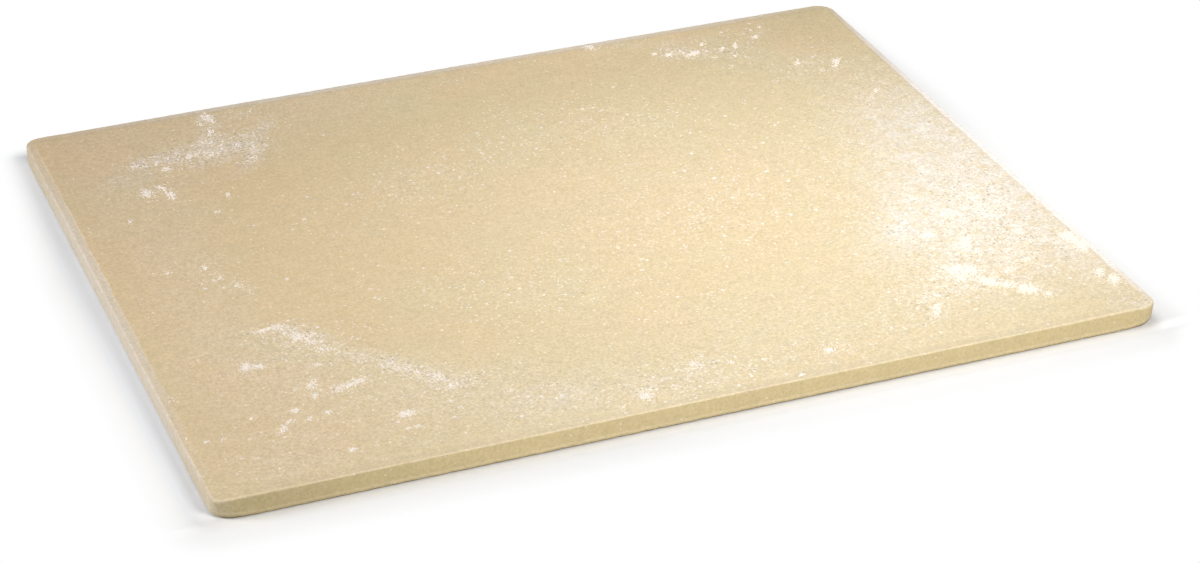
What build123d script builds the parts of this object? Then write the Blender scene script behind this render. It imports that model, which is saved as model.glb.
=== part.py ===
from build123d import *
import os

# Pizza stone: one flat slab of pressed and fired refractory ceramic with rounded
# corners. The baking face stands slightly proud of a narrow margin that runs all
# round it, and both rims are lightly eased. The underside is plain and flat.
# Millimetres, +Z up. The origin is the middle of the face that the slab rests on,
# X runs along its long side and Y along its short side, away from the viewer.

# Driving dimensions of the slab
slab_length = 430.0
slab_width = 350.0
slab_thickness = 10.0
corner_radius = 9.0

# The raised baking face and the margin round it
margin_width = 4.6
face_rise = 0.3
face_bevel = 0.6

# Rounds that ease the margin and the resting face into the side walls
upper_rim_radius = 0.8
lower_rim_radius = 1.0

# Height of the margin above the resting face
margin_height = slab_thickness - face_rise

os.makedirs("parts", exist_ok=True)

with BuildPart() as baking_slab:
    # The body, up to the margin
    with BuildSketch(Plane.XY) as outline:
        RectangleRounded(slab_length, slab_width, corner_radius)
    extrude(amount=margin_height)
    fillet(baking_slab.faces().sort_by(Axis.Z)[0].edges(), radius=lower_rim_radius)
    fillet(baking_slab.faces().sort_by(Axis.Z)[-1].edges(), radius=upper_rim_radius)

    # The baking face, on a low bevelled step that keeps the body's outline
    with BuildSketch(Plane.XY.offset(margin_height)):
        add(outline.sketch)
        offset(amount=-margin_width, mode=Mode.REPLACE)
    with BuildSketch(Plane.XY.offset(slab_thickness)):
        add(outline.sketch)
        offset(amount=-margin_width - face_bevel, mode=Mode.REPLACE)
    loft()

baking_slab.part.label = "baking_slab"
export_step(baking_slab.part, "parts/baking_slab.step")
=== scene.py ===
import math
from functools import cached_property
from typing import NamedTuple

import bpy
import numpy as np
from mathutils import Matrix, Vector


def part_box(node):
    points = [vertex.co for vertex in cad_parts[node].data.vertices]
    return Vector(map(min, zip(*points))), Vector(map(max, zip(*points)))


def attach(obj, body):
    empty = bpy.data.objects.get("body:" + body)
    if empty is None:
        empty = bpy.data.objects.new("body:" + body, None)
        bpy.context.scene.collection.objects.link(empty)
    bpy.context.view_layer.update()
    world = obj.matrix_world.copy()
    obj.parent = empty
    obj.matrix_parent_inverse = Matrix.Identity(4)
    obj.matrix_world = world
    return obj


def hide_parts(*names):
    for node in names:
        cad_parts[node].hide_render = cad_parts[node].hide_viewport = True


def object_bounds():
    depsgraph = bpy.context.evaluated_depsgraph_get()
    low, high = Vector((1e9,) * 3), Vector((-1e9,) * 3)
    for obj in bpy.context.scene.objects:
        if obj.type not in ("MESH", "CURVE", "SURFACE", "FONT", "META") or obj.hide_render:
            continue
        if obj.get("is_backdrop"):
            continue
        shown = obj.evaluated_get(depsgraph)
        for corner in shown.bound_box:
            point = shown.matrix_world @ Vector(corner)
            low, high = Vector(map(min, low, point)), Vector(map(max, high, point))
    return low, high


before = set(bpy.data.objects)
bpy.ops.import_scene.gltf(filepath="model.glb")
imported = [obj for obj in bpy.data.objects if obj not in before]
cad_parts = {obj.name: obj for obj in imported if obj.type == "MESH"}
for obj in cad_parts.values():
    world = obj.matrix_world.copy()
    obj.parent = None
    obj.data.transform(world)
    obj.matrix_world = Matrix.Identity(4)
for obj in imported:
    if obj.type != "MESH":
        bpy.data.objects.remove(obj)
cad_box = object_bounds()

MM = 0.001
SLAB_NODE = "baking_slab"

# The outer sizes come from the frame. The slab warped a little when it was fired: its middle
# stands a crown higher than its ends, and thickness is that of its ends
_, slab_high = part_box(SLAB_NODE)
half_length = slab_high.x
half_width = slab_high.y
crown = 0.3 * MM
thickness = slab_high.z - crown

# Its form: the corners, the low step up to the baking face, and the rims
corner_radius = 9.0 * MM
step_width = 0.6 * MM
step_rise = 0.25 * MM
margin_slope = 0.05 * MM
lower_rim_radius = 0.9 * MM
least_lower_rim = 0.4 * MM
upper_rim_radius = 0.45 * MM
least_upper_rim = 0.25 * MM
# How much rounder the upper rim is at the corners, and the share of mid_side where that ends
worn_rim_extra = 0.4 * MM
worn_rim_end = 0.55
# How uneven the face, rims and margin are, and each line's seed, shortest and longest wave
face_relief = 0.035 * MM
rim_unevenness = 0.08 * MM
margin_unevenness = 0.14 * MM
LOWER_RIM_WAVES = (21, 6.0 * MM, 80.0 * MM)
UPPER_RIM_WAVES = (22, 3.0 * MM, 50.0 * MM)
MARGIN_WAVES = (23, 12.0 * MM, 120.0 * MM)

# Small chips along the upper rim
chip_count = 40
chip_depths = (0.06 * MM, 0.25 * MM)
chip_half_lengths = (0.5 * MM, 1.6 * MM)

# Mesh spacing
column_spacing = 1.0 * MM
corner_steps = 12
face_spacing = 2.0 * MM
underside_spacing = 4.0 * MM
lower_rim_steps = 4
wall_steps = 8
upper_rim_steps = 6
step_steps = 4
face_edge = 1.0 * MM
# Where the margin's rings lie, as shares of its width
margin_places = (0.08, 0.16, 0.60, 1.0)

inner_x = half_length - corner_radius
inner_y = half_width - corner_radius
rim_height = thickness - step_rise - margin_slope

# The sides are right, back, left, front. Each starts at its own corner in CORNERS, and the
# corner at its end has its number
SIDE_COUNT = 4
CORNERS = np.array(((1, -1), (1, 1), (-1, 1), (-1, -1))) * (inner_x, inner_y)
# For each side: the width of its margin, and how far pale bloom covers its wall and margin
margin_widths = np.array((2.9, 4.6, 3.7, 5.6)) * MM
wall_bloom_shares = (0.8, 0.8, 1.15, 0.05)
margin_bloom_shares = (1.0, 0.83, 0.85, 0.08)
# How much darker its margin is, the painted shadow along the foot of its wall, and the painted
# light from the floor just above that foot, which lightens it and pales its tint
margin_shades = (0.0, -0.02, 0.0, 0.05)
foot_shades = (0.10, 0.10, 0.08, 0.48)
foot_bounce_lifts = (0.0, 0.0, 0.0, 0.13)
foot_bounce_tints = (0.0, 0.0, 0.0, 0.28)
# Painted highlights along its upper rim and its step, a further painted highlight that lightens
# that rim, and the share of the margin over which both fade out
arris_highlights = (0.5, 0.1, 1.0, 0.2)
step_highlights = (0.3, 0.2, 0.45, 0.15)
arris_lifts = (0.0, 0.0, 0.0, 0.13)
rim_highlight_fade = 0.16
# For the corner at each side's end: the exponent of its curve at the rim and at the base,
# where 2 is a plain round, and how much wider the lower rim's round is there
rim_squareness = (2.0, 2.2, 4.0, 2.4)
base_squareness = (2.0, 2.7, 2.0, 2.0)
base_round_extra = np.array((0.4, 0.4, 1.8, 2.2)) * MM
base_round_reach = 9.0 * MM
# How much thinner the margins' bloom is there, how far that reaches, and the shares of it by
# which the walls' bloom and the rim's painted highlight thin out
thin_bloom_shares = (0.7, 0.7, 0.45, 0.95)
thin_bloom_reaches = np.array((40.0, 60.0, 45.0, 26.0)) * MM
thin_wall_share = 0.5
thin_arris_share = 0.7
# How far the step is worn away there, and the share of the margins' shade left without it
worn_step_shares = (0.2, 0.5, 0.75, 0.8)
worn_step_reach = 26.0 * MM
least_margin_shade = 0.2
# Towards the front left corner, the bloom of the margins and a little of the walls' fades
FRONT_LEFT_CORNER = 2
bloom_fade_reach = 90.0 * MM
margin_bloom_fade = 0.85
wall_bloom_fade = 0.1
# There the painted highlight along the step fades too, and painted shade darkens the front wall
step_fade_reach = 160.0 * MM
dark_wall_reach = 70.0 * MM
dark_wall_shades = (0.0, 0.0, 0.0, 0.20)
# How far bloom and the walls' colour cover the underside
under_bloom = 0.3
under_wall = 0.5


def smooth(share):
    """A soft rise from 0 to 1."""
    share = np.clip(share, 0.0, 1.0)
    return share * share * (3.0 - 2.0 * share)


def closed_wave(at, whole, seed, shortest, longest, parts=24):
    """Smooth noise of about unit strength along a closed line, from waves that fit it."""
    random = np.random.default_rng(seed)
    turns = random.integers(round(whole / longest), round(whole / shortest) + 1, parts)
    starts = random.uniform(0.0, 2.0 * math.pi, parts)
    angles = 2.0 * math.pi * np.outer(at / whole, turns) + starts
    return np.sin(angles).sum(axis=1) * math.sqrt(2.0 / parts)


def relief(x, y, seed=5, shortest=0.03, longest=0.15, parts=18):
    """The slow unevenness of the baking face, of about unit strength."""
    random = np.random.default_rng(seed)
    total = np.zeros_like(x)
    for _ in range(parts):
        heading = random.uniform(0.0, math.pi)
        wave_length = random.uniform(shortest, longest)
        start = random.uniform(0.0, 2.0 * math.pi)
        along = x * math.cos(heading) + y * math.sin(heading)
        total += np.sin(2.0 * math.pi * along / wave_length + start)
    return total * math.sqrt(2.0 / parts)


def crown_lift(x):
    """How far the warp lifts the slab at x."""
    return crown * (1.0 - (x / half_length) ** 2)


class Columns:
    """The upright lines of points round the slab, and where each one stands."""

    def __init__(self):
        lines = []
        passed = 0.0
        for side in range(SIDE_COUNT):
            start, end = CORNERS[side], CORNERS[(side + 1) % SIDE_COUNT]
            length = np.linalg.norm(end - start)
            steps = round(length / column_spacing)
            for k in range(steps + 1):
                place = start + (end - start) * k / steps
                lines.append((*place, side, k / steps, passed + length * k / steps))
            passed += length
            for k in range(1, corner_steps):
                lines.append((*end, side + k / corner_steps, 1.0, passed))
        x, y, self.facing, share, self.loop_at = map(np.array, zip(*lines))
        self.anchors = np.stack([x, y], axis=1)
        self.loop_length = passed
        turn = self.facing * math.pi / 2.0
        self.outward = np.stack([np.cos(turn), np.sin(turn)], axis=1)
        corner_arc = corner_radius * math.pi / 2.0
        self.outline_at = self.loop_at + self.facing * corner_arc
        self.outline_length = passed + SIDE_COUNT * corner_arc
        # 1 half way along a side, 0 at its ends
        self.mid_side = 4.0 * share * (1.0 - share)

    def __len__(self):
        return len(self.facing)

    def apart(self, place):
        """How far along the outline each column stands from a place on it."""
        apart = np.abs(self.outline_at - place)
        return np.minimum(apart, self.outline_length - apart)

    def by_side(self, values):
        """A value for each side, blended round the corners."""
        return np.interp(self.facing, range(SIDE_COUNT + 1), [*values, values[0]])

    def near_corner(self, corner, reach):
        """1 at the middle of a corner, falling to 0 beyond that reach."""
        middle = np.interp(corner + 0.5, self.facing, self.outline_at)
        return np.exp(-((self.apart(middle) / reach) ** 2))

    def radius(self, squareness):
        """The outline's distance from each anchor, for a curve exponent at each corner."""
        corner = np.floor(self.facing).astype(int)
        turn = (self.facing - corner) * math.pi / 2.0
        exponent = np.array(squareness)[corner]
        spread = np.cos(turn) ** exponent + np.sin(turn) ** exponent
        return corner_radius * spread ** (-1.0 / exponent)


class Ring(NamedTuple):
    """A closed line of points round the slab, with a value for each column."""

    inset: np.ndarray
    height: np.ndarray
    # From 0 at the base to 1 at the rim and inside it
    rise: float
    # Pale bloom, and painted light from the floor just above the front wall's foot
    bloom_and_bounce: np.ndarray
    wear: np.ndarray
    # 1 on the walls, 0 on the top
    wall: float
    # How much darker it is than the rest, lighter below 0; it holds painted shade and highlights
    shade: np.ndarray | float = 0.0
    # 1 on the margin, 0 on the face and the walls
    margin: float = 0.0


def mostly_small(random, sizes, number, fall):
    """Random sizes from a least to a largest one, the smaller ones more often."""
    smallest, largest = sizes
    return smallest + (largest - smallest) * random.random(number) ** fall


def chips(columns, seed=11):
    """How deep the small chips in the upper rim are at each column."""
    random = np.random.default_rng(seed)
    depth = np.zeros(len(columns))
    for _ in range(chip_count):
        apart = columns.apart(random.uniform(0.0, columns.outline_length))
        reach = random.uniform(*chip_half_lengths)
        depth += mostly_small(random, chip_depths, None, 2) * np.exp(-((apart / reach) ** 2))
    return depth


class Sections:
    """The form and looks of the rims, walls and margins, with a value for each column."""

    def __init__(self, columns):
        at, whole, by_side = columns.outline_at, columns.outline_length, columns.by_side

        # The rounds at the foot and at the top of the wall
        lower = lower_rim_radius + rim_unevenness * closed_wave(at, whole, *LOWER_RIM_WAVES)
        for corner in range(SIDE_COUNT):
            lower += base_round_extra[corner] * columns.near_corner(corner, base_round_reach)
        self.lower = np.maximum(lower, least_lower_rim)
        at_ends = 1.0 - smooth(columns.mid_side / worn_rim_end)
        upper = upper_rim_radius + worn_rim_extra * at_ends + chips(columns)
        upper += rim_unevenness * closed_wave(at, whole, *UPPER_RIM_WAVES)
        self.upper = np.maximum(upper, least_upper_rim)

        # The step: how far in it starts, how high it still is, and the heights below it
        self.crease = by_side(margin_widths)
        self.crease += margin_unevenness * closed_wave(at, whole, *MARGIN_WAVES)
        unworn = 1.0
        for corner in range(SIDE_COUNT):
            near = columns.near_corner(corner, worn_step_reach)
            unworn *= 1.0 - worn_step_shares[corner] * near
        self.rise = step_rise * unworn
        self.crease_at = thickness - self.rise
        self.rim_at = self.crease_at - margin_slope
        self.wall_top = self.rim_at - self.upper

        # How much darker or lighter each part is: painted shade on the front wall and along the
        # foot, painted light from the floor above the foot, a painted highlight on the front rim,
        # and the margins' tone
        near = columns.near_corner(FRONT_LEFT_CORNER, dark_wall_reach)
        self.dark_wall = by_side(dark_wall_shades) * near
        self.foot_shade = 1.0 - (1.0 - by_side(foot_shades)) * (1.0 - self.dark_wall)
        self.foot_bounce_lift = by_side(foot_bounce_lifts)
        shade_left = least_margin_shade + (1.0 - least_margin_shade) * unworn
        self.margin_shade = by_side(margin_shades) * shade_left
        self.arris_lift = by_side(arris_lifts)

        # How far pale bloom and painted light from the floor cover it, and its painted highlights
        fading = columns.near_corner(FRONT_LEFT_CORNER, bloom_fade_reach)
        self.foot_bounce_tint = by_side(foot_bounce_tints)
        self.wall_bloom = by_side(wall_bloom_shares) * (1.0 - wall_bloom_fade * fading)
        self.margin_bloom = by_side(margin_bloom_shares)
        self.margin_bloom *= 1.0 - margin_bloom_fade * fading
        self.arris_highlight = by_side(arris_highlights)
        for corner in range(SIDE_COUNT):
            near = columns.near_corner(corner, thin_bloom_reaches[corner])
            thinned = thin_bloom_shares[corner] * near
            self.margin_bloom *= 1.0 - thinned
            self.wall_bloom *= 1.0 - thin_wall_share * thinned
            self.arris_highlight *= 1.0 - thin_arris_share * thinned
        self.step_highlight = by_side(step_highlights) * unworn
        self.step_highlight *= 1.0 - columns.near_corner(FRONT_LEFT_CORNER, step_fade_reach)


def wall_rings(at, none, full):
    """The rings from the underside over the lower rim and up the wall."""
    bloom_and_bounce = under_bloom * full
    yield Ring(at.lower + face_edge, none, 0.0, bloom_and_bounce, none, under_wall, at.foot_shade)
    for k in range(lower_rim_steps + 1):
        turn = math.pi / 2.0 * k / lower_rim_steps
        inset = at.lower * (1.0 - math.sin(turn))
        height = at.lower * (1.0 - math.cos(turn))
        # Painted shadow along the foot, fading out up the lower rim
        upwards = max(2.0 * k / lower_rim_steps - 1.0, 0.0)
        shade = at.foot_shade + (at.dark_wall - at.foot_shade) * upwards
        yield Ring(inset, height, 0.0, at.wall_bloom, none, 1.0, shade)
    # Up the wall, painted shade darkens the front wall towards the front left corner
    for k in range(1, wall_steps):
        share = k / wall_steps
        height = at.lower + (at.wall_top - at.lower) * share
        # Painted light from the floor on the wall just above its foot
        above_foot = 1.0 if k == 1 else 0.0
        bloom_and_bounce = at.wall_bloom + at.foot_bounce_tint * above_foot
        shade = at.dark_wall - at.foot_bounce_lift * above_foot
        yield Ring(none, height, share, bloom_and_bounce, none, 1.0, shade)


def top_rings(at, none, full):
    """The rings over the upper rim, along the margin and up the step to the face."""
    for k in range(upper_rim_steps + 1):
        share = k / upper_rim_steps
        turn = math.pi / 2.0 * share
        bloom_and_bounce = at.wall_bloom + (at.margin_bloom - at.wall_bloom) * share
        inset = at.upper * (1.0 - math.cos(turn))
        height = at.wall_top + at.upper * math.sin(turn)
        # Painted highlights along the upper rim, and a further one that lightens the front rim
        wear = at.arris_highlight * math.sin(turn)
        shade = at.dark_wall * (1.0 - share) + at.margin_shade * share
        shade -= at.arris_lift * math.sin(turn)
        yield Ring(inset, height, 1.0, bloom_and_bounce, wear, 1.0 - share, shade, share)
    for share in margin_places:
        inset = at.upper + (at.crease - at.upper) * share
        height = at.rim_at + margin_slope * share
        # The rim's painted highlights fade out over the margin's outer share
        near_rim = max(1.0 - share / rim_highlight_fade, 0.0)
        wear = at.arris_highlight * near_rim
        shade = at.margin_shade - at.arris_lift * near_rim
        yield Ring(inset, height, 1.0, at.margin_bloom, wear, 0.0, shade, 1.0)
    for k in range(1, step_steps + 1):
        share = k / step_steps
        inset = at.crease + step_width * share
        height = at.crease_at + at.rise * smooth(share)
        bloom_and_bounce = (1.0 - share) * at.margin_bloom
        # A painted highlight along the step
        wear = math.sin(math.pi * share) * at.step_highlight
        shade = (1.0 - share) * at.margin_shade
        yield Ring(inset, height, 1.0, bloom_and_bounce, wear, 0.0, shade, 1.0 - share)
    inset = at.crease + step_width + face_edge
    yield Ring(inset, thickness * full, 1.0, none, none, 0.0)


def profile_rings(columns):
    """All rings, from the underside to the face."""
    at = Sections(columns)
    none, full = np.zeros(len(columns)), np.ones(len(columns))
    return [*wall_rings(at, none, full), *top_rings(at, none, full)]


def ring_points(columns, rings):
    """The points of every ring, one row a ring."""
    at_base = columns.radius(base_squareness)
    at_rim = columns.radius(rim_squareness)
    rows = []
    for ring in rings:
        reach = at_base + (at_rim - at_base) * ring.rise - ring.inset
        flat = columns.anchors + columns.outward * reach[:, None]
        rows.append(np.column_stack([flat, ring.height]))
    return np.array(rows)


class Grid(NamedTuple):
    """A grid over the inner rectangle, and its boundary, anticlockwise."""

    first: int
    x: np.ndarray
    y: np.ndarray
    cells: np.ndarray
    loop: np.ndarray
    # How far along the boundary each of its points lies
    loop_at: np.ndarray


def face_grid(spacing, first):
    """A grid with about that spacing, numbered from first."""
    nx = round(2.0 * inner_x / spacing)
    ny = round(2.0 * inner_y / spacing)
    across = np.linspace(-inner_x, inner_x, nx + 1)
    x, y = np.meshgrid(across, np.linspace(-inner_y, inner_y, ny + 1))
    number = first + np.arange((nx + 1) * (ny + 1)).reshape(ny + 1, nx + 1)
    cells = [number[:-1, :-1], number[:-1, 1:], number[1:, 1:], number[1:, :-1]]
    cells = np.stack(cells, axis=-1).reshape(-1, 4)
    loop = [number[:-1, -1], number[-1, :0:-1], number[:0:-1, 0], number[0, :-1]]
    loop = np.concatenate(loop)
    steps = np.repeat((2.0 * inner_y / ny, 2.0 * inner_x / nx) * 2, (ny, nx) * 2)
    loop_at = np.concatenate([[0.0], np.cumsum(steps)[:-1]])
    return Grid(first, x.ravel(), y.ravel(), cells, loop, loop_at)


def zip_loops(outer, outer_at, inner, inner_at, whole):
    """Triangles between two closed loops that run the same way round, facing up."""

    def middles(at):
        return (at + np.append(at[1:], whole)) / 2.0

    steps = [(at, False) for at in middles(outer_at)] + [(at, True) for at in middles(inner_at)]
    triangles = []
    i = j = 0
    for _, inner_moves in sorted(steps):
        a, b = outer[i % len(outer)], inner[j % len(inner)]
        if inner_moves:
            j += 1
            triangles.append((a, inner[j % len(inner)], b))
        else:
            i += 1
            triangles.append((a, outer[i % len(outer)], b))
    return triangles


# The bake map: the top with the walls folded out round it, and the underside below them
top_map_scale = 1.75
under_map_scale = 0.92
map_edge = 0.01


def map_places(columns, rows):
    """Where each ring point lies in the map, with the walls folded out round the top."""
    steps = np.linalg.norm(np.diff(rows, axis=0), axis=2)
    unfolded = np.vstack([np.cumsum(steps[::-1], axis=0)[::-1], np.zeros(len(columns))])
    reach = np.linalg.norm(rows[-1, :, :2] - columns.anchors, axis=1)
    out = columns.anchors + columns.outward[None] * (reach + unfolded)[..., None]
    return out.reshape(-1, 2)


def slab_points(rows, top, low):
    """Every point of the slab, with the face's unevenness and the warp."""
    points = np.vstack([
        rows.reshape(-1, 3),
        np.column_stack([top.x, top.y, np.full(len(top.x), thickness)]),
        np.column_stack([low.x, low.y, np.zeros(len(low.x))]),
    ])
    # The face's unevenness fades towards the underside
    uneven = face_relief * relief(points[:, 0], points[:, 1])
    points[:, 2] += uneven * (points[:, 2] / thickness) ** 3
    points[:, 2] += crown_lift(points[:, 0])
    return points


def slab_faces(columns, ring_total, top, low):
    """The faces of the slab. The first under_count are those of the underside and its rim."""
    count = len(columns)
    first_ring = np.arange(count)
    last_ring = first_ring + (ring_total - 1) * count
    whole = columns.loop_length
    under = zip_loops(first_ring, columns.loop_at, low.loop, low.loop_at, whole)
    faces = [face[::-1] for face in under + low.cells.tolist()]
    following = np.roll(first_ring, -1)
    for ring in range(ring_total - 1):
        below, above = ring * count, (ring + 1) * count
        strip = (below + first_ring, below + following, above + following, above + first_ring)
        faces += np.stack(strip, axis=1).tolist()
        if ring == lower_rim_steps:
            under_count = len(faces)
    faces += zip_loops(last_ring, columns.loop_at, top.loop, top.loop_at, whole)
    faces += top.cells.tolist()
    return [[int(point) for point in face] for face in faces], under_count


def add_attributes(mesh, points, rings, low):
    """The values that the finish reads, at each point of the slab."""
    x, y, z = points.T
    full = np.ones_like(rings[0].bloom_and_bounce)
    values = {}
    for name in ("bloom_and_bounce", "wear", "wall", "shade", "margin"):
        on_rings = np.concatenate([getattr(ring, name) * full for ring in rings])
        values[name] = np.zeros(len(points))
        values[name][:len(on_rings)] = on_rings
    values["wall"][low.first:] = under_wall
    values["bloom_and_bounce"][low.first:] = under_bloom
    on_top = (z > thickness / 2.0) * (1.0 - values["wall"])
    values["flour"] = on_top * cover(FLOUR_DRIFTS, x, y)
    values["dust"] = on_top * cover(DUST_VEILS, x, y)
    values["warmth"] = cover(WARM_PATCHES, x, y)
    values["shade"] += on_top * cover(SHADE_PATCHES, x, y)
    values["rimflour"] = values.pop("margin") * cover(MARGIN_FLOUR, x, y)
    for name, value in values.items():
        mesh.attributes.new(name, "FLOAT", "POINT").data.foreach_set("value", value)


def add_map(mesh, place):
    """A bake map, with a place in it for each corner of each face."""
    mesh.uv_layers.new(name="OFBake").data.foreach_set("uv", place.ravel())


def corner_points(mesh):
    """The point at each corner of each face."""
    numbers = np.empty(len(mesh.loops), int)
    mesh.loops.foreach_get("vertex_index", numbers)
    return numbers


def slab_map(mesh, points, on_rings, under_corners):
    """The slab's places in its map. The first under_corners belong to the underside."""
    top_place = points[:, :2].copy()
    top_place[:len(on_rings)] = on_rings
    fold = np.abs(on_rings).max(axis=0)
    top_uv = (top_place + fold) * top_map_scale + (map_edge, 0.0)
    top_uv[:, 1] += 1.0 - map_edge - 2.0 * fold[1] * top_map_scale
    under_uv = (points[:, :2] + (half_length, half_width)) * under_map_scale + map_edge
    corners = corner_points(mesh)
    place = top_uv[corners]
    place[:under_corners] = under_uv[corners[:under_corners]]
    return place


def slab_mesh():
    """The slab as one closed mesh, with its attributes and its bake map."""
    columns = Columns()
    rings = profile_rings(columns)
    rows = ring_points(columns, rings)
    top = face_grid(face_spacing, len(rings) * len(columns))
    low = face_grid(underside_spacing, top.first + len(top.x))
    points = slab_points(rows, top, low)
    faces, under_count = slab_faces(columns, len(rings), top, low)
    mesh = bpy.data.meshes.new("stone_slab")
    mesh.from_pydata(points.tolist(), [], faces)
    mesh.polygons.foreach_set("use_smooth", np.ones(len(faces), bool))
    add_attributes(mesh, points, rings, low)
    under_corners = sum(len(face) for face in faces[:under_count])
    add_map(mesh, slab_map(mesh, points, map_places(columns, rows), under_corners))
    mesh.validate()
    return mesh


# Soft layers over the slab, in millimetres and degrees: the middle, length, width, direction
# and strength of each. Drifts of flour
FLOUR_DRIFTS = [
    # Back left
    (-163, 129, 36, 14, 18, 0.48), (-142, 128, 42, 22, 8, 0.43), (-123, 131, 26, 18, 35, 0.45),
    (-130, 146, 28, 13, 70, 0.4), (-112, 124, 26, 12, 60, 0.36), (-118, 111, 24, 11, 55, 0.26),
    (-138, 115, 32, 10, 15, 0.22), (-104, 143, 26, 12, 40, 0.36), (-108, 161, 26, 12, 0, 0.3),
    (-126, 164, 14, 13, 100, 0.3), (-130, 102, 26, 10, 40, 0.12), (-158, 117, 10, 6, 20, 0.2),
    (-172, 97, 12, 8, 80, 0.25), (-164, 95, 18, 8, 100, 0.3), (-150, 82, 40, 12, 10, 0.06),
    # Left
    (-166, 9, 28, 16, 110, 0.16), (-155, -8, 18, 9, 100, 0.18), (-184, 17, 12, 8, 0, 0.14),
    (-147, 66, 8, 6, 0, 0.16), (-187, 72, 8, 6, 0, 0.1),
    # Front left, in an arc
    (-157, -49, 18, 6, 5, 0.34), (-147, -55, 16, 13, -40, 0.55), (-138, -66, 14, 10, -58, 0.4),
    (-128, -84, 26, 14, -45, 0.36), (-116, -97, 20, 16, -30, 0.42), (-104, -110, 22, 14, -25, 0.5),
    (-94, -121, 28, 13, -15, 0.42), (-137, -108, 24, 8, 16, 0.4), (-152, -104, 18, 10, 75, 0.2),
    (-172, -78, 16, 8, -10, 0.3), (-144, -86, 9, 7, 0, 0.16), (-155, -64, 40, 18, -60, 0.2),
    (-151, -100, 26, 22, 60, 0.14), (-171, -130, 22, 9, 52, 0.22), (-160, -127, 9, 5, 60, 0.18),
    (-152, -125, 7, 5, 0, 0.18), (-122, -139, 10, 7, 10, 0.26), (-98, -125, 12, 6, 0, 0.22),
    (-112, -125, 60, 24, -20, 0.12), (-110, -148, 70, 30, 0, 0.08), (-130, -66, 30, 20, -60, 0.12),
    # Front
    (-60, -146, 40, 22, -10, 0.18), (-24, -162, 14, 8, 75, 0.32), (-20, -155, 60, 26, 0, 0.26),
    (8, -147, 34, 11, 0, 0.3), (20, -160, 70, 22, 0, 0.22), (63, -158, 14, 9, 0, 0.22),
    (75, -155, 60, 26, 0, 0.12), (110, -150, 40, 24, 20, 0.16),
    # Front right, a broken cover
    (146, -117, 20, 16, -10, 0.5), (142, -130, 40, 14, 0, 0.42), (160, -130, 18, 12, -30, 0.42),
    (146, -112, 16, 9, 0, 0.36), (128, -122, 28, 18, 30, 0.26), (122, -132, 18, 14, 0, 0.28),
    (155, -46, 34, 14, 60, 0.45), (139, -68, 26, 12, 45, 0.45), (176, -20, 22, 12, 80, 0.4),
    (120, -143, 14, 6, 60, 0.3), (170, -139, 10, 8, -30, 0.5), (147, -78, 14, 8, 20, 0.45),
    (163, -91, 12, 8, 60, 0.45), (187, -71, 12, 8, 60, 0.45), (150, -92, 34, 24, 40, 0.34),
    (170, -70, 34, 28, 60, 0.38), (188, -58, 30, 30, 0, 0.34), (188, -86, 44, 26, 90, 0.38),
    (176, -104, 34, 20, 20, 0.38), (196, -40, 40, 28, 80, 0.32), (176, -44, 22, 18, 60, 0.28),
    (192, -22, 34, 18, 80, 0.2), (208, -168, 18, 10, 0, 0.2), (205, -62, 40, 12, 90, 0.15),
    (206, -111, 20, 10, 80, 0.5), (204, -142, 20, 8, 78, 0.36), (186, -124, 30, 20, 0, 0.18),
    (200, -5, 60, 20, 90, 0.14), (170, -90, 90, 70, 60, 0.22),
    # Right and back right, in streaks
    (127, 143, 30, 15, -20, 0.38), (116, 150, 24, 14, 30, 0.26), (148, 137, 28, 16, 60, 0.24),
    (163, 150, 18, 9, 60, 0.18), (174, 110, 32, 17, 45, 0.28), (189, 105, 16, 8, 62, 0.3),
    (190, 70, 30, 12, 75, 0.2), (186, 88, 24, 12, 60, 0.12), (200, 35, 60, 18, 90, 0.22),
    (150, 160, 50, 16, 0, 0.1), (98, 165, 44, 12, -10, 0.14), (79, 171, 12, 8, 90, 0.25),
    # A thin dusting over the middle
    (70, -20, 150, 90, 20, 0.16), (-40, 60, 140, 60, 20, 0.12), (-40, -60, 130, 60, -20, 0.14),
    (60, 80, 120, 60, -15, 0.14),
]
# Thin even veils of flour dust
DUST_VEILS = [
    (195, 22, 120, 70, 90, 0.66), (172, -30, 90, 60, 90, 0.4), (-20, -150, 420, 90, 0, 0.13),
    (90, -130, 240, 90, 0, 0.12), (-164, -76, 70, 60, 0, 0.12), (-176, 110, 60, 56, 0, 0.12),
    (-180, 113, 34, 16, 15, 0.16), (-59, -152, 50, 26, 0, 0.28), (-173, -157, 40, 26, 0, 0.19),
    (206, -33, 70, 26, 90, 0.45), (150, -66, 40, 30, 45, 0.3), (-178, 0, 300, 60, 90, 0.15),
    (170, -84, 110, 90, 60, 0.66), (60, 0, 260, 180, 0, 0.14), (-105, -125, 110, 60, -15, 0.16),
    (-148, -76, 44, 34, -60, 0.1), (-130, 130, 80, 50, 10, 0.1), (150, 130, 90, 60, -40, 0.1),
    (190, -40, 100, 60, 90, 0.5), (208, -168, 24, 16, 0, 0.2), (-100, 160, 240, 50, 0, 0.12),
    (205, -50, 190, 22, 90, 0.6), (178, -12, 60, 22, 100, 0.5), (158, -48, 46, 24, 60, 0.75),
    (140, -72, 44, 22, 45, 0.75), (192, 28, 50, 26, 90, 0.45), (196, -125, 60, 40, 0, 0.22),
]
# Where the fired face is warmer in colour
WARM_PATCHES = [
    (-215, 60, 300, 330, 0, 0.7), (-215, 175, 140, 120, 0, 0.7), (0, 185, 560, 90, 0, 0.45),
    (60, 0, 300, 180, 0, 0.2), (-190, -130, 150, 130, 0, 0.6), (190, 125, 70, 50, 0, 0.35),
]
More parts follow.
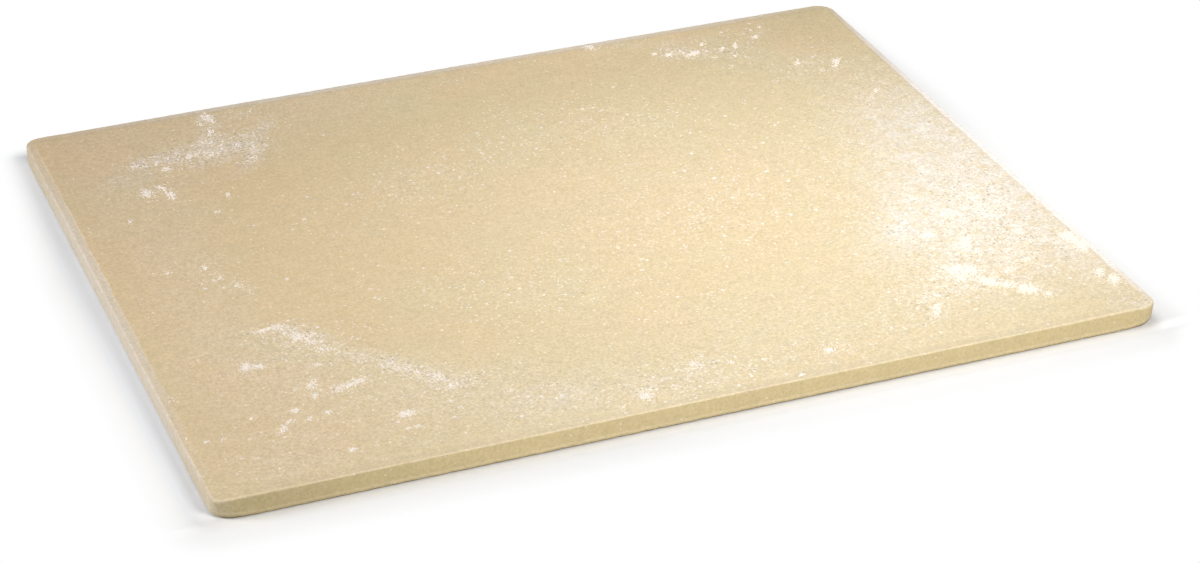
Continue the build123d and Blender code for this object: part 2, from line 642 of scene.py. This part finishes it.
# Where it is darker, or lighter below 0
SHADE_PATCHES = [
    (-90, 165, 280, 60, 0, -0.05), (208, -165, 36, 30, 0, 0.04), (-188, -110, 80, 90, 0, 0.02),
    (82, 165, 130, 30, 0, -0.06), (186, -78, 12, 8, 60, 0.08), (-214, 95, 200, 9, 90, -0.05),
    (-50, -172, 120, 16, 0, -0.04), (212, 150, 60, 14, 90, -0.05),
]
# The flour that has gathered on the margins
MARGIN_FLOUR = [
    (214, -110, 110, 20, 90, 0.85), (214, -30, 130, 20, 90, 0.95), (214, 50, 120, 20, 90, 0.7),
    (214, 120, 60, 20, 90, 0.25),
]


def cover(layers, x, y):
    """How much of the face these soft layers cover at each place, from 0 to 1."""
    bare = np.ones_like(x)
    for middle_x, middle_y, length, width, direction, strength in layers:
        turn = math.radians(direction)
        dx, dy = x - middle_x * MM, y - middle_y * MM
        along = (dx * math.cos(turn) + dy * math.sin(turn)) / (length * MM / 2.0)
        across = (dy * math.cos(turn) - dx * math.sin(turn)) / (width * MM / 2.0)
        bare *= 1.0 - strength * np.exp(-(along**2 + across**2))
    return 1.0 - bare


# Clumps of flour, in the same terms, but each ends with how closely its grains lie
FLOUR_CLUMPS = [
    # Back left
    (-173, 96, 8, 4, 80, 0.9), (-165, 99, 6, 3, 110, 0.7), (-163, 91, 8, 3, 100, 0.9),
    (-126, 165, 7, 4, 100, 0.9), (-124, 160, 4, 2, 90, 0.8), (-131, 158, 4, 2, 80, 0.5),
    (-138, 81, 4, 2, 70, 0.6), (-158, 118, 5, 2.5, 60, 0.7), (-147, 66, 3, 2, 0, 0.5),
    (-187, 72, 4, 2, 60, 0.35), (-143, 127, 9, 4, 20, 0.35), (-128, 148, 8, 3, 70, 0.35),
    (-171, 126, 5, 3, 30, 0.4), (-134, 124, 8, 4, 10, 0.3), (-113, 125, 6, 2, 60, 0.3),
    # Left
    (-184, 17, 4, 2, 0, 0.5), (-167, 15, 5, 2.5, 80, 0.45), (-163, 4, 5, 2, 70, 0.45),
    (-172, 3, 4, 2, 0, 0.3), (-157, -6, 5, 2, 100, 0.5), (-154, -13, 3, 2, 90, 0.4),
    # Front left
    (-158, -49, 8, 3, 10, 0.6), (-151, -48, 5, 3, 0, 0.8), (-145, -61, 9, 6, -50, 0.55),
    (-151, -101, 9, 4, 60, 0.35), (-139, -74, 10, 6, -60, 0.25), (-141, -67, 4, 3, 0, 0.6),
    (-137, -107, 14, 4, 15, 0.55), (-132, -105, 5, 3, 0, 0.7), (-174, -77, 7, 4, 40, 1.1),
    (-168, -78, 5, 3, -40, 1.1), (-145, -86, 4, 3, 0, 0.4), (-153, -110, 4, 2.5, 60, 0.7),
    (-152, -103, 5, 2, 90, 0.35), (-164, -119, 3, 2.5, 0, 1.8), (-173, -131, 8, 2.5, 55, 0.6),
    (-168, -126, 4, 2, 30, 0.5), (-160, -127, 4, 2, 60, 0.6), (-152, -125, 3.5, 2, 0, 1.4),
    (-122, -139, 6.5, 3.6, 10, 1.6), (-125, -150, 3, 1.5, 0, 1.0), (-121, -150, 3, 2, 0, 1.0),
    (-151, -157, 3, 2, 0, 1.4), (-108, -107, 6, 2, -40, 0.4), (-100, -114, 6, 3, -40, 0.6),
    (-97, -125, 5, 2, 0, 0.5), (-75, -137, 4, 2, 0, 0.5), (-210, -90, 4, 2, 60, 0.3),
    (-190, -96, 3, 1.5, 60, 0.3), (-112, -103, 5, 2, -40, 0.4), (-205, -129, 3, 1.4, 30, 0.5),
    (-195, -147, 2, 1.2, 0, 0.8), (-189, -149, 2, 1, 0, 0.8), (-183, -160, 2, 1, 0, 1.0),
    (-200, -158, 1.5, 1, 0, 0.8), (-199, -130, 2, 1.4, 60, 0.4), (-188, -134, 1.5, 1, 0, 0.9),
    (-183, -118, 2, 1.4, 0, 1.0), (-212, -123, 2, 1, 60, 0.7),
    # Front
    (-57, -149, 4, 2, 75, 0.5), (-24, -163, 6, 4, 75, 0.9), (-37, -171, 4, 2, 70, 0.4),
    (4, -146, 4, 3, 60, 0.5), (-3, -149, 3, 2, 0, 0.4), (20, -151, 3, 2, 80, 0.5),
    (63, -157, 4.5, 3.5, 0, 1.0), (44, -171, 3, 2.5, 0, 1.0), (6, -163, 3, 2, 0, 0.35),
    (52, -146, 3, 2, 60, 0.3), (96, -150, 3, 2, 40, 0.3),
    # Front right
    (121, -144, 9, 3, 62, 0.8), (124, -139, 6, 2.5, 10, 0.7), (147, -113, 9, 6, 0, 1.3),
    (153, -115, 8, 5, 60, 1.1), (144, -121, 8, 4, 40, 0.9), (154, -128, 11, 5, -60, 1.1),
    (161, -134, 7, 4, -30, 0.8), (168, -141, 9, 6, -20, 1.4), (174, -148, 5, 3, 30, 0.7),
    (208, -103, 8, 7, 60, 1.1), (210, -112, 11, 6, 70, 1.4), (205, -139, 7, 4, 70, 1.0),
    (208, -147, 8, 4, 70, 1.3), (163, -101, 7, 3, 80, 0.6), (162, -90, 9, 5, 60, 0.9),
    (148, -79, 9, 4, 10, 0.6), (185, -55, 7, 4, 60, 0.5), (132, -117, 5, 3, 0, 0.4),
    (179, -116, 6, 3, 40, 0.6), (168, -122, 7, 3, 20, 0.6), (187, -72, 9, 5, 60, 0.2),
    (190, -90, 8, 4, 70, 0.5), (195, -60, 6, 3, 60, 0.4), (167, -62, 9, 6, 50, 0.5),
    # Back right
    (125, 143, 7, 3, 30, 1.0), (113, 147, 5, 3, 65, 0.8), (107, 150, 4, 2, 60, 0.5),
    (141, 143, 5, 2, 60, 0.5), (134, 152, 4, 2, 60, 0.5), (149, 144, 5, 2, 65, 0.6),
    (144, 132, 4, 2, 60, 0.4), (133, 134, 4, 2, 20, 0.4), (163, 150, 4, 2.5, 40, 0.7),
    (169, 159, 3, 1.5, 60, 0.5), (148, 161, 3, 1.5, 60, 0.4), (170, 113, 6, 2.5, 60, 0.4),
    (189, 107, 8, 3, 62, 0.6), (186, 102, 4, 2, 45, 0.5), (178, 100, 4, 2, 60, 0.4),
    (193, 68, 4, 2, 60, 0.5), (187, 63, 3, 1.5, 60, 0.3), (79, 171, 8, 3, 100, 0.9),
]
clump_grain_density = 5.2
clump_grain_radii = (0.24 * MM, 0.50 * MM)
clump_spread = 0.28
# A clump bends in a wave, by this share of its width and this many radians a millimetre
clump_bend = 0.18
clump_bend_turn = 2.4
# This part of a clump's grains is strewn further out, and is finer
strewn_share = 0.25
strewn_spread = 2.2
strewn_fineness = 0.6
# Loose grains over the whole slab, more of them on dust and flour
loose_grain_count = 4500
loose_grain_radii = (0.12 * MM, 0.45 * MM)
least_loose_chance = 0.012
loose_chance_in_dust = 0.25
tries_per_grain = 12
# Crumbs, only where the flour lies thick
crumb_count = 600
crumb_radii = (0.40 * MM, 0.85 * MM)
crumb_from_cover = 0.35
# A grain's foot and height are shares of its radius, and its head is one of its foot
grain_sides = 5
grain_foots = (0.7, 1.25)
grain_waist = 0.60
grain_waists = (0.8, 1.15)
grain_heights = (0.35, 0.75)
grain_lifts = (0.8, 1.2)
grain_sink = 0.05 * MM
rim_clearance = 2.0 * MM


def clump_grains(random):
    """Middle and radius of the grains in the clumps."""
    places, radii = [], []
    for middle_x, middle_y, length, width, direction, closeness in FLOUR_CLUMPS:
        number = round(clump_grain_density * closeness * length * width)
        turn = math.radians(direction)
        strewn = np.where(random.random((number, 1)) < strewn_share, strewn_spread, 1.0)
        spread = random.normal(0.0, clump_spread, (number, 2)) * strewn * (length, width)
        spread[:, 1] += clump_bend * width * np.sin(spread[:, 0] * clump_bend_turn + middle_x)
        x = middle_x + spread[:, 0] * math.cos(turn) - spread[:, 1] * math.sin(turn)
        y = middle_y + spread[:, 0] * math.sin(turn) + spread[:, 1] * math.cos(turn)
        places.append(np.column_stack([x, y]) * MM)
        radii.append(random.uniform(*clump_grain_radii, number) / strewn[:, 0] ** strewn_fineness)
    return places, radii


def grain_places(seed=31):
    """Middle, radius and height share of every grain of flour."""
    random = np.random.default_rng(seed)
    places, radii = clump_grains(random)
    try_count = loose_grain_count * tries_per_grain
    x = random.uniform(-half_length, half_length, try_count)
    y = random.uniform(-half_width, half_width, try_count)
    tries = np.column_stack([x, y])
    drifts, dust = cover(FLOUR_DRIFTS, x, y), cover(DUST_VEILS, x, y)
    chance = least_loose_chance + loose_chance_in_dust * dust**2 + drifts
    loose = tries[random.random(try_count) < chance][:loose_grain_count]
    places.append(loose)
    radii.append(mostly_small(random, loose_grain_radii, len(loose), 3))
    crumbs = tries[random.random(try_count) < drifts - crumb_from_cover][:crumb_count]
    places.append(crumbs)
    radii.append(mostly_small(random, crumb_radii, len(crumbs), 2))
    places, radii = np.vstack(places), np.concatenate(radii)
    heights = random.uniform(*grain_heights, len(places))
    room = np.array((half_length, half_width)) - rim_clearance
    inside = (np.abs(places) < room).all(axis=1)
    return places[inside], radii[inside], heights[inside]


def face_height(x, y):
    """Height of the slab's upper side, margin included."""
    right, back, left, front = margin_widths
    inside = (x > left - half_length) & (x < half_length - right)
    inside &= (y > front - half_width) & (y < half_width - back)
    return np.where(inside, thickness, rim_height) + face_relief * relief(x, y) + crown_lift(x)


def flour_mesh(seed=37):
    """Grains of flour, each a small lump with an uneven outline that sits in the face."""
    random = np.random.default_rng(seed)
    places, radii, heights = grain_places()
    number = len(places)
    turn = 2.0 * math.pi * np.arange(grain_sides) / grain_sides
    turns = turn + random.uniform(0.0, 2.0 * math.pi, (number, 1))
    reach = radii[:, None] * random.uniform(*grain_foots, (number, grain_sides))
    base = face_height(places[:, 0], places[:, 1])[:, None] - grain_sink
    waist = reach * grain_waist * random.uniform(*grain_waists, reach.shape)
    lift = (radii * heights)[:, None] * random.uniform(*grain_lifts, reach.shape)

    def ring_at(reach, height):
        x = places[:, :1] + reach * np.cos(turns)
        y = places[:, 1:] + reach * np.sin(turns)
        return np.stack([x, y, np.broadcast_to(height, reach.shape)], axis=-1)

    foot = ring_at(reach, base)
    head = ring_at(waist, base + grain_sink + lift)
    points = np.concatenate([foot, head], axis=1).reshape(-1, 3)
    ring = np.arange(grain_sides)
    following = np.roll(ring, -1)
    sides = np.stack([ring, following, following + grain_sides, ring + grain_sides], axis=1)
    faces = []
    for first in range(0, len(points), 2 * grain_sides):
        faces += (first + sides).tolist()
        faces.append((first + ring[::-1]).tolist())
        faces.append((first + grain_sides + ring).tolist())
    mesh = bpy.data.meshes.new("flour_dusting")
    mesh.from_pydata(points.tolist(), [], faces)
    add_map(mesh, points[corner_points(mesh), :2] / (2.0 * half_length) + 0.5)
    return mesh


# Albedos, linear
STONE_WARM = (0.735, 0.547, 0.330)
STONE_SALLOW = (0.688, 0.566, 0.346)
STONE_EDGE = (0.690, 0.555, 0.295)
BLOOM_AND_BOUNCE = (0.705, 0.625, 0.525)
EDGE_HIGHLIGHT = (0.870, 0.755, 0.650)
LIGHT_GRAIN = (0.93, 0.80, 0.60)
DARK_GRAIN = (0.42, 0.33, 0.20)
FLOUR_GRAIN_SHADOW = (0.450, 0.390, 0.270)
DUST = (0.785, 0.733, 0.670)
POWDER = (0.925, 0.852, 0.795)
FLOUR = (0.960, 0.893, 0.825)
FLOUR_SHADED = (0.890, 0.812, 0.725)
WHITE = (1.0, 1.0, 1.0)
# How strongly the fine grain shows on plain and on floury stone
plain_grain = 0.10
floury_grain = 0.20
# The part of the grain that is grey, and the albedo that it is meant for
grey_grain = 0.22
mean_albedo = 0.55
# Strength of the finer clouds in its colour, and of flour drifts in its thin dust
fine_cloud_share = 0.35
dust_in_drifts = 0.85
# How strongly the dark grains, dots and lumps of powder, and painted grain shadows in the flour
# show
dark_grain_share = 0.4
dot_share = 0.75
lump_share = 0.8
grain_shadow_share = 0.75


class Shading:
    """The nodes of a material or the sky, with short ways to add more."""

    def __init__(self, owner, surface="Principled BSDF"):
        owner.use_nodes = True
        self.tree = owner.node_tree
        self.surface = self.tree.nodes[surface]

    def add(self, kind, inputs=(), **settings):
        """A new node. Its inputs are given by name or number, as values or outputs."""
        node = self.tree.nodes.new("ShaderNode" + kind)
        for name, value in settings.items():
            setattr(node, name, value)
        for name, value in dict(inputs).items():
            if isinstance(value, bpy.types.NodeSocket):
                self.tree.links.new(value, node.inputs[name])
            else:
                node.inputs[name].default_value = value
        return node

    @cached_property
    def place(self):
        """Where on its piece a point is."""
        return self.add("TexCoord").outputs["Object"]

    def noise(self, size, detail=2.0, roughness=0.5):
        """Noise with lumps of about that size in metres, from 0 to 1."""
        inputs = {"Vector": self.place, "Scale": 1.0 / size, "Detail": detail}
        inputs["Roughness"] = roughness
        return self.add("TexNoise", inputs).outputs[0]

    def spread(self, value, low, high, to_low=0.0, to_high=1.0, **settings):
        """value from low to high becomes to_low to to_high, and stays inside them."""
        inputs = {0: value, 1: low, 2: high, 3: to_low, 4: to_high}
        return self.add("MapRange", inputs, **settings).outputs[0]

    def maths(self, operation, a, b):
        return self.add("Math", {0: a, 1: b}, operation=operation).outputs[0]

    def plus(self, a, b):
        return self.maths("ADD", a, b)

    def minus(self, a, b):
        return self.maths("SUBTRACT", a, b)

    def times(self, a, b):
        return self.maths("MULTIPLY", a, b)

    def vector(self, operation, inputs, output=0):
        """An operation on vectors or colours."""
        return self.add("VectorMath", inputs, operation=operation).outputs[output]

    def mix(self, share, below, above):
        """below, with above over it by that share."""
        sockets = bpy.types.NodeSocket
        below, above = (c if isinstance(c, sockets) else (*c, 1.0) for c in (below, above))
        inputs = {0: share, 6: below, 7: above}
        return self.add("Mix", inputs, data_type="RGBA").outputs[2]

    def specks(self, size, share, radius):
        """Separate specks in cells of that size. share is the part of the cells that has one."""
        cells = self.add("TexVoronoi", {"Vector": self.place, "Scale": 1.0 / size})
        chances = self.add("SeparateColor", {0: cells.outputs["Color"]}).outputs
        chosen = self.maths("LESS_THAN", chances[0], share)
        reach = self.spread(chances[1], 0.0, 1.0, radius * 0.4, radius)
        near = self.maths("DIVIDE", cells.outputs["Distance"], reach)
        return self.times(chosen, self.spread(near, 1.0, 0.5))

    def attribute(self, name):
        return self.add("Attribute", attribute_name=name).outputs["Fac"]

    def link(self, output, name):
        self.tree.links.new(output, self.surface.inputs[name])

    def set(self, **values):
        for name, value in values.items():
            self.surface.inputs[name.replace("_", " ")].default_value = value


def bare_stone(s):
    """The fired stone's colour: pale bloom, painted floor light at a foot, painted edge
    highlights.
    """
    fine_clouds = s.times(s.noise(3.2 * MM, 3.0), fine_cloud_share)
    clouds = s.plus(s.noise(30 * MM, 3.0), fine_clouds)
    warmth = s.plus(s.attribute("warmth"), s.spread(clouds, 0.52, 0.83, -0.2, 0.2))
    colour = s.mix(warmth, STONE_SALLOW, STONE_WARM)
    colour = s.mix(s.attribute("wall"), colour, STONE_EDGE)
    patchy = s.spread(s.noise(5 * MM, 4.0, 0.6), 0.3, 0.65, 0.55, 1.0)
    # Pale bloom, and painted light from the floor just above the front wall's foot
    colour = s.mix(s.times(s.attribute("bloom_and_bounce"), patchy), colour, BLOOM_AND_BOUNCE)
    # Painted highlights along the upper rim and the step, broken up by noise
    broken_highlight = s.spread(s.noise(4 * MM, 2.0), 0.35, 0.6, 0.4, 1.0)
    return s.mix(s.times(s.attribute("wear"), broken_highlight), colour, EDGE_HIGHLIGHT)


def floured(s, colour, flour, thin):
    """That colour under grains of sand, thin even dust, and a powder with painted shadows in it.
    """
    light = s.times(s.specks(1.7 * MM, 0.45, 0.42), s.spread(thin, 0.0, 0.3, 0.2, 0.5))
    colour = s.mix(light, colour, LIGHT_GRAIN)
    colour = s.mix(s.times(s.specks(2.3 * MM, 0.12, 0.22), dark_grain_share), colour, DARK_GRAIN)
    drifted = s.spread(s.noise(6 * MM, 3.0, 0.6), 0.3, 0.7, 0.3, 1.0)
    colour = s.mix(s.times(thin, drifted), colour, DUST)

    # The powder breaks up where two noises are low, and less so where flour lies thick
    coarse = s.times(s.noise(3.0 * MM, 3.0, 0.6), 0.45)
    fine = s.times(s.noise(1.2 * MM, 2.0, 0.6), 0.55)
    broken = s.plus(s.plus(coarse, fine), s.times(flour, 0.24))
    powder = s.times(s.spread(broken, 0.62, 0.78, 0.0, 0.8), s.spread(flour, 0.05, 0.30))
    dots = s.times(s.specks(1.3 * MM, s.plus(s.times(flour, 1.1), 0.02), 0.62), dot_share)
    lumps = s.times(s.specks(2.6 * MM, s.times(flour, 0.5), 0.5), lump_share)
    on_rim = s.spread(s.noise(4 * MM, 3.0, 0.6), 0.3, 0.6, 0.7, 1.0)
    on_rim = s.times(s.attribute("rimflour"), on_rim)
    for share in (powder, dots, lumps, on_rim):
        colour = s.mix(share, colour, POWDER)
    # Painted shadows between the flour's grains
    grain_shadows = s.specks(1.9 * MM, s.spread(flour, 0.12, 0.5, 0.0, 0.65), 0.5)
    return s.mix(s.times(grain_shadows, grain_shadow_share), colour, FLOUR_GRAIN_SHADOW)


def stone_material():
    """Fired refractory ceramic: sandy grain, mottling, pale margins and flour in its pores."""
    material = bpy.data.materials.new("refractory_ceramic")
    s = Shading(material)
    flour = s.attribute("flour")
    thin = s.maths("MAXIMUM", s.attribute("dust"), s.times(flour, dust_in_drifts))
    colour = floured(s, bare_stone(s), flour, thin)

    # Shade, which holds painted shade and highlights, and blotches scale the colour. The fine
    # grain partly scales it, partly adds to it
    unshaded = s.minus(1.0, s.attribute("shade"))
    blotch = s.plus(s.noise(9 * MM, 4.0, 0.6), s.noise(3.5 * MM, 3.0, 0.6))
    blotch = s.spread(blotch, 0.7, 1.3, 0.96, 1.04)
    grain = s.spread(s.noise(1.3 * MM, 3.0, 0.7), 0.3, 0.7, -1.0, 1.0)
    grain = s.times(grain, s.spread(thin, 0.0, 0.3, plain_grain, floury_grain))
    scale = s.plus(s.times(grain, 1.0 - grey_grain / mean_albedo), 1.0)
    tone = s.times(s.times(unshaded, blotch), scale)
    colour = s.vector("SCALE", {0: colour, "Scale": tone})
    s.link(s.vector("ADD", {0: colour, 1: s.times(grain, grey_grain)}), "Base Color")

    height = s.plus(s.noise(0.55 * MM, 3.0, 0.7), s.noise(2.4 * MM, 2.0))
    bump = s.add("Bump", {"Height": height, "Strength": 0.35, "Distance": 0.10 * MM})
    s.link(bump.outputs[0], "Normal")
    s.set(Roughness=0.93, Specular_IOR_Level=0.25)
    return material


def flour_material():
    """Dry flour, white with a faint warm cast in its clumps."""
    material = bpy.data.materials.new("dry_flour")
    s = Shading(material)
    shade = s.spread(s.noise(1.6 * MM, 2.0), 0.3, 0.7)
    s.link(s.mix(shade, FLOUR_SHADED, FLOUR), "Base Color")
    s.set(Roughness=1.0, Specular_IOR_Level=0.1)
    return material


def add_object(name, data, material=None):
    """A new object at the origin."""
    made = bpy.data.objects.new(name, data)
    if material:
        data.materials.append(material)
    bpy.context.scene.collection.objects.link(made)
    return made


slab = add_object("stone_slab", slab_mesh(), stone_material())
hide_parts(SLAB_NODE)
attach(slab, "root")

flour = add_object("flour_dusting", flour_mesh(), flour_material())
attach(flour, "root")

# The floor keeps the slab's shadow. To the camera it turns white between these two distances
# from the slab
white_starts = 0.007
white_from = 0.025
half_floor = 6.0
floor_albedo = 0.8
seen_floor_albedo = 0.96
# Each row is an amount and the ramps that it is multiplied by. A ramp says what it goes by,
# x, y or the distance outside a side, its start and end, and its values there
WHITE_SOONER = [
    # Towards the back, and before the front right corner
    (0.013, ("y", 0.04, 0.19, 0, 1)),
    (0.010, ("right", -0.003, 0.007, 0, 1), ("front", -0.003, 0.009, 0, 1)),
]
BESIDE_LEFT = (("left", -0.002, 0.0, 0, 1), ("front", -0.014, 0.0, 1, 0))
SEEN_PALER = [
    # Painted light close to the left wall, thinning the slab's shadow there
    (0.20, ("left", 0.003, 0.0085, 1, 0), *BESIDE_LEFT),
    # Painted light close to the front wall, and painted shade further away, except at the left end
    (0.07, ("front", -0.002, 0.0, 0, 1), ("front", 0.001, 0.006, 1, 0)),
    (-0.18, ("front", 0.0015, 0.006, 0, 1), ("x", -0.22, -0.04, 0, 1)),
    # A painted shadow close to the right wall, a little less dark from its middle to the back
    (
        -0.19, ("right", -0.002, 0.0, 0, 1), ("right", 0.004, 0.022, 1, 0),
        ("y", -0.15, 0.0, 1, 0.7), ("front", -0.004, 0.004, 1, 0),
    ),
]
# Close to the left wall, this tint takes the slab's warm reflection out of it
left_tint = (0.945, 0.99, 1.075)
TINTED = [(1.0, ("left", 0.002, 0.012, 1, 0), *BESIDE_LEFT)]


def sum_of_ramps(s, ways, rows):
    """The sum of those rows, each an amount times its ramps."""
    total = 0.0
    for amount, *ramps in rows:
        for way, *ramp in ramps:
            amount = s.times(s.spread(ways[way], *ramp), amount)
        total = s.plus(total, amount)
    return total


def floor_material():
    """Pale to other light. To the camera it turns white with the distance from the slab."""
    material = bpy.data.materials.new("studio_floor")
    s = Shading(material)
    s.tree.nodes.remove(s.surface)
    x, y, _ = s.add("SeparateXYZ", {0: s.place}).outputs
    ways = {"x": x, "y": y, "right": s.minus(x, half_length)}
    ways["left"] = s.minus(s.times(x, -1.0), half_length)
    ways["front"] = s.minus(s.times(y, -1.0), half_width)

    outside = s.vector("ABSOLUTE", {0: s.place})
    outside = s.vector("SUBTRACT", {0: outside, 1: (half_length, half_width, 0.0)})
    away = s.vector("LENGTH", {0: s.vector("MAXIMUM", {0: outside})}, "Value")
    away = s.plus(away, sum_of_ramps(s, ways, WHITE_SOONER))
    whiteness = s.spread(away, white_starts, white_from, interpolation_type="SMOOTHSTEP")

    level = s.plus(sum_of_ramps(s, ways, SEEN_PALER), seen_floor_albedo)
    tint = s.mix(sum_of_ramps(s, ways, TINTED), WHITE, left_tint)
    lit = s.add("BsdfDiffuse", {"Color": s.vector("SCALE", {0: tint, "Scale": level})})
    white = s.add("Emission")
    seen = s.add("MixShader", {0: whiteness, 1: lit.outputs[0], 2: white.outputs[0]})
    plain = s.add("BsdfDiffuse", {"Color": (*(floor_albedo,) * 3, 1.0)})
    path = s.add("LightPath").outputs
    shown = s.maths("MAXIMUM", path["Is Camera Ray"], path["Is Glossy Ray"])
    shown = s.maths("MAXIMUM", shown, path["Is Transmission Ray"])
    both = s.add("MixShader", {0: shown, 1: plain.outputs[0], 2: seen.outputs[0]})
    s.tree.links.new(both.outputs[0], s.tree.nodes["Material Output"].inputs["Surface"])
    return material


floor_mesh = bpy.data.meshes.new("studio_floor")
floor_corners = ((-1, -1, 0), (1, -1, 0), (1, 1, 0), (-1, 1, 0))
floor_mesh.from_pydata([half_floor * Vector(c) for c in floor_corners], [], [(0, 1, 2, 3)])
floor = add_object("studio_floor", floor_mesh, floor_material())
floor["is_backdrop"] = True

# Soft studio light: an even dome, a near key at the right, and fills at the left and front
lamp_size = 0.30
dome_strength = 0.17
world = bpy.data.worlds.new("studio_dome")
bpy.context.scene.world = world
sky = Shading(world, "Background")
sky.set(Color=(*WHITE, 1.0))
# The camera sees it white, at a strength of 1
to_camera = sky.add("LightPath").outputs["Is Camera Ray"]
sky.link(sky.spread(to_camera, 0.0, 1.0, dome_strength, 1.0), "Strength")


def lamp(name, place, aim, power):
    """A round soft light at a place, turned to a point."""
    light = bpy.data.lights.new(name, "AREA")
    light.shape = "DISK"
    light.size = lamp_size
    light.energy = power
    made = add_object(name, light)
    made.visible_camera = False
    made.location = place
    made.rotation_mode = "QUATERNION"
    made.rotation_quaternion = (Vector(aim) - Vector(place)).to_track_quat("-Z", "Y")


lamp("key", (0.14, -0.03, 0.32), (0.07, -0.015, 0.0), 0.94)
lamp("left_fill", (-0.80, 0.0, 0.29), (0, 0, 0), 2.78)
lamp("front_fill", (0.11, -0.75, 0.57), (0, 0, 0), 4.14)

# The camera, from the slab's own edges in the photograph
camera_place = Vector((-0.458, -1.2423, 0.7107))
camera_yaw = math.radians(20.97)
camera_pitch = math.radians(29.03)
camera_roll = math.radians(-0.52)
camera_lens = 96.96

camera = add_object("camera", bpy.data.cameras.new("camera"))
camera.data.lens = camera_lens
camera.matrix_world = (
    Matrix.Translation(camera_place)
    @ Matrix.Rotation(-camera_yaw, 4, "Z")
    @ Matrix.Rotation(math.pi / 2.0 - camera_pitch, 4, "X")
    @ Matrix.Rotation(camera_roll, 4, "Z")
)
bpy.context.scene.camera = camera
bpy.context.scene.view_settings.view_transform = "Standard"

sizes = {"cad": cad_box, "visual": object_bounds()}
{name: [list(corner) for corner in box] for name, box in sizes.items()}
